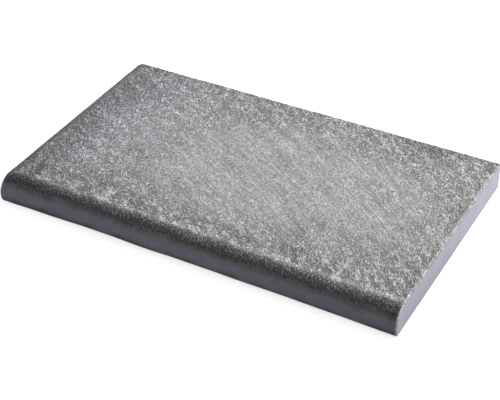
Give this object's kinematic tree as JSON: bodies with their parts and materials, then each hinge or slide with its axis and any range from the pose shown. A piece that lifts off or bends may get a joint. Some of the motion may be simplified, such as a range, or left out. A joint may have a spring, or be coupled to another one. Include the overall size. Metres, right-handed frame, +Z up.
{
  "type": "pool coping stone",
  "caption": "Rectangular pool coping stone with a textured slip-resistant walking face, a bullnose along the front and left end, and sawn right end, back and bed faces.",
  "frame": {"origin": "middle of the bed face, which lies on the ground", "axes": "+X along the edge of the pool towards the sawn end, -Y out over the water past the bullnose, +Z up through the walking face"},
  "size_m": [0.6, 0.35, 0.04],
  "materials": {
    "stone": "textured top, sawn edges"
  },
  "bodies": {
    "root": {"coping_stone": "stone"}
  },
  "joints": []
}
